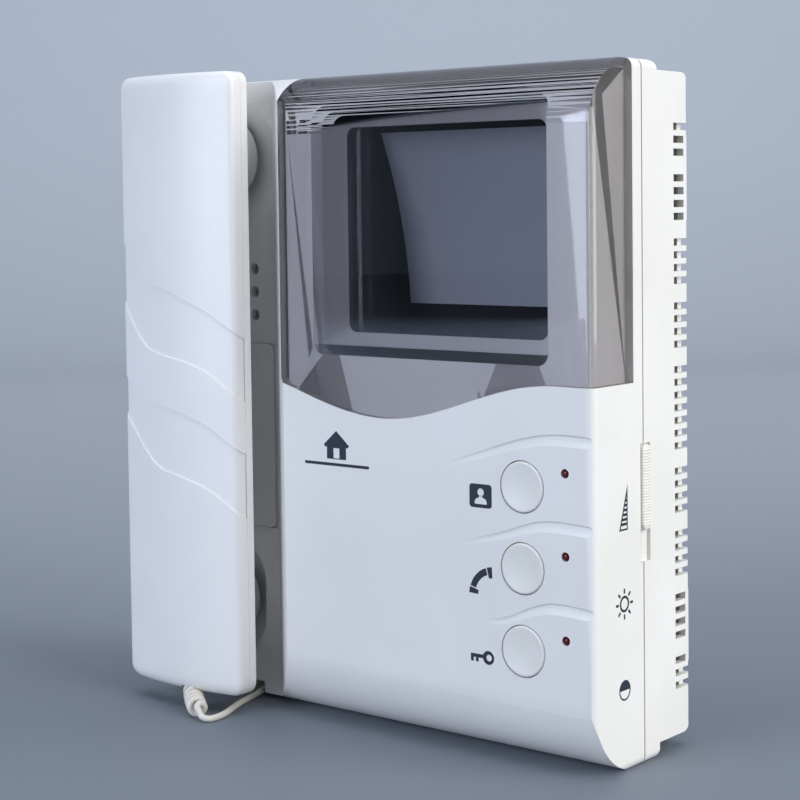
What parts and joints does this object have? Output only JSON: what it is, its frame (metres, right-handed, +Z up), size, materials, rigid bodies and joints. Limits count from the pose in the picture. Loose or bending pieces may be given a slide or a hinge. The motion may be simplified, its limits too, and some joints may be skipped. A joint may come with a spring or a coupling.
{
  "type": "video intercom monitor",
  "caption": "Wall or table video intercom monitor with a flat picture tube behind a smoked visor, round push buttons and a handset in a side cradle.",
  "frame": {"origin": "bottom centre of the box round the whole object without its cord, on the surface it stands on", "axes": "+Z up, -Y out of the screen towards the user, +X to the right as the user sees it"},
  "size_m": [0.1972, 0.0806, 0.222],
  "materials": {
    "shell_abs": "fine moulded texture, ivory",
    "smoked_acrylic": "polished clear smoke",
    "tube_glass": "polished glass",
    "phosphor": "fine powder coat, grey",
    "gun_metal": "satin",
    "socket_plastic": "moulded black",
    "copper_winding": "enamelled wire",
    "core_steel": "varnished laminations",
    "zinc_steel": "zinc plated",
    "circuit_board": "green solder mask",
    "heat_sink_aluminium": "extruded",
    "capacitor_sleeve": "shrink sleeve",
    "led_lens": "clear red epoxy",
    "speaker_metal": "satin",
    "card_plastic": "satin",
    "button_abs": "satin moulded",
    "dark_plastic": "moulded",
    "handset_abs": "fine moulded texture with glossy bands",
    "soft_rubber": "soft",
    "cord_sheath": "smooth cord sheath"
  },
  "bodies": {
    "case": {"front_shell": "shell_abs", "rear_cover": "shell_abs", "visor": "smoked_acrylic", "screen_bezel": "shell_abs", "tube_envelope": "tube_glass", "phosphor_screen": "phosphor", "electron_gun": "gun_metal", "tube_socket": "socket_plastic", "deflection_yoke": "copper_winding", "tube_strap": "zinc_steel", "main_board": "circuit_board", "flyback_transformer": "socket_plastic", "mains_transformer": "core_steel", "heat_sink": "heat_sink_aluminium", "capacitors": "capacitor_sleeve", "terminal_block": "socket_plastic", "button_board": "circuit_board", "tact_switches": "socket_plastic", "indicator_leds": "led_lens", "slide_pot": "zinc_steel", "trimmer_pots": "socket_plastic", "loudspeaker": "speaker_metal", "hook_switch": "socket_plastic", "card_cover": "card_plastic", "case_screws": "zinc_steel", "board_screws": "zinc_steel", "strap_screws": "zinc_steel", "cord_grommet": "soft_rubber"},
    "handset": {"handset_front_shell": "handset_abs", "handset_back_shell": "handset_abs", "ear_cap": "handset_abs", "earpiece_capsule": "speaker_metal", "mouth_cap": "handset_abs", "microphone_capsule": "speaker_metal", "microphone_boot": "soft_rubber", "handset_weight": "zinc_steel", "handset_gland": "soft_rubber", "handset_screws": "zinc_steel", "cord_coil": "cord_sheath", "cord_tail": "cord_sheath"},
    "monitor_button": {"monitor_button": "button_abs"},
    "talk_button": {"talk_button": "button_abs"},
    "door_button": {"door_button": "button_abs"},
    "volume_knob": {"volume_knob": "button_abs"},
    "brightness_knob": {"brightness_knob": "dark_plastic"},
    "contrast_knob": {"contrast_knob": "dark_plastic"},
    "hook_plunger": {"hook_plunger": "dark_plastic"},
    "wall_bracket": {"wall_bracket": "zinc_steel"}
  },
  "joints": [
    {"name": "handset_lift", "type": "slide", "parent": "case", "child": "handset", "axis": [0, -1, 0], "range_m": [0, 0.06]},
    {"name": "hook_travel", "type": "slide", "parent": "case", "child": "hook_plunger", "axis": [0, -1, 0], "range_m": [0, 0.004]},
    {"name": "monitor_press", "type": "slide", "parent": "case", "child": "monitor_button", "axis": [0, 1, 0], "range_m": [0, 0.001], "stiffness_N_per_m": 400, "springref_m": -0.0005},
    {"name": "talk_press", "type": "slide", "parent": "case", "child": "talk_button", "axis": [0, 1, 0], "range_m": [0, 0.001], "stiffness_N_per_m": 400, "springref_m": -0.0005},
    {"name": "door_press", "type": "slide", "parent": "case", "child": "door_button", "axis": [0, 1, 0], "range_m": [0, 0.001], "stiffness_N_per_m": 400, "springref_m": -0.0005},
    {"name": "volume_slide", "type": "slide", "parent": "case", "child": "volume_knob", "axis": [0, 0, -1], "range_m": [0, 0.0095]},
    {"name": "brightness_turn", "type": "hinge", "parent": "case", "child": "brightness_knob", "pos_m": [0.0674, 0.03205, 0.0527], "axis": [0, 1, 0], "range_deg": [-140, 140]},
    {"name": "contrast_turn", "type": "hinge", "parent": "case", "child": "contrast_knob", "pos_m": [0.0674, 0.03205, 0.0259], "axis": [0, 1, 0], "range_deg": [-140, 140]},
    {"name": "bracket_slide", "type": "slide", "parent": "case", "child": "wall_bracket", "axis": [0, 0, -1], "range_m": [0, 0.007]}
  ],
  "couplings": [
    {"joint": "hook_travel", "follows": "handset_lift", "ratio": 0.0666}
  ]
}
